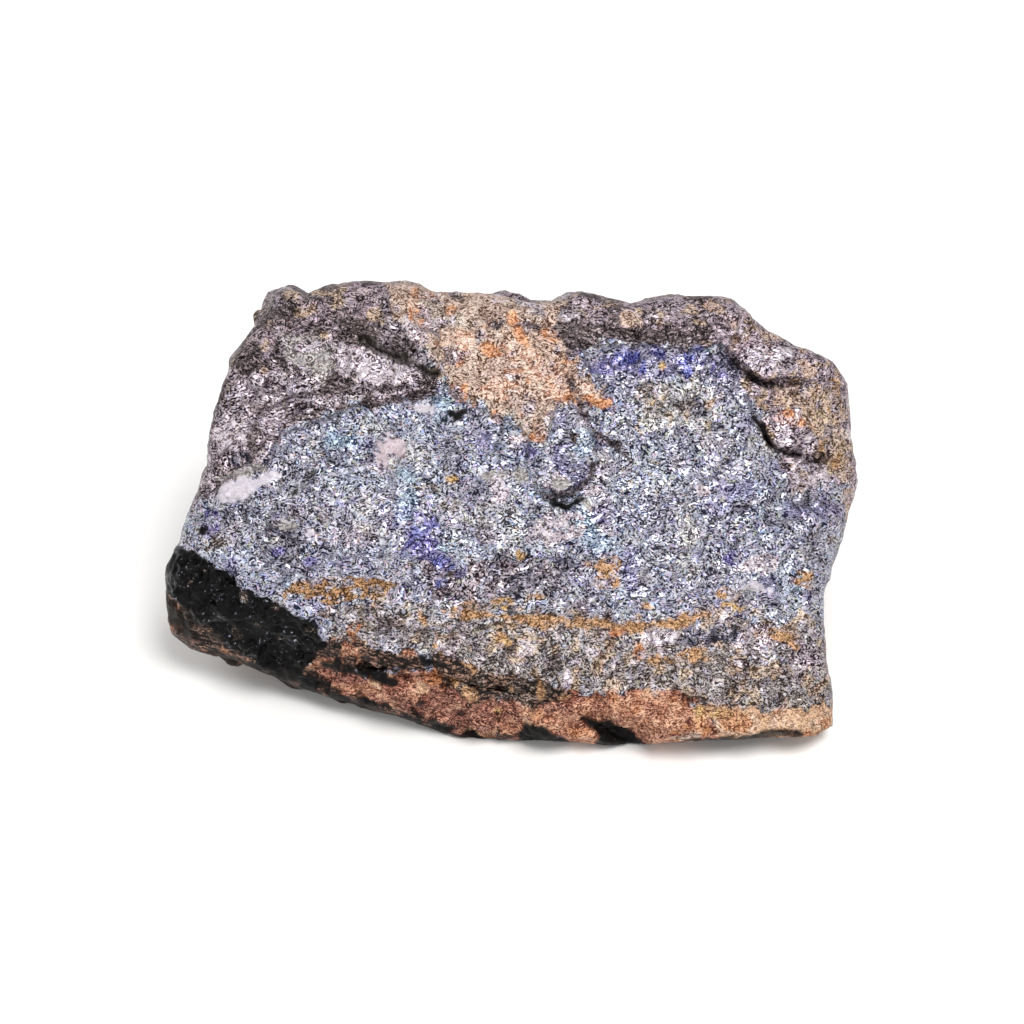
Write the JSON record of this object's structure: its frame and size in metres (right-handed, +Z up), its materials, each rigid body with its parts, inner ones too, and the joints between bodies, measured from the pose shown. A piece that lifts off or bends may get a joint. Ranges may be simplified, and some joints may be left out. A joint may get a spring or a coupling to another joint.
{
  "type": "bornite specimen",
  "caption": "Rough hand-sized block of massive bornite that rests on its broken base, with a broad tarnished face leaning back and a rusty foot.",
  "frame": {"origin": "on the bench, under the middle of the stone's bounding box", "axes": "+Z up, +X to the right along the broad face, -Y the side that the broad face leans back from"},
  "size_m": [0.1208, 0.0696, 0.0651],
  "materials": {
    "bornite": "rough broken ore, metallic blue-grey and purple tarnish with rusty bands"
  },
  "bodies": {
    "root": {"bornite_stone": "bornite"}
  },
  "joints": []
}
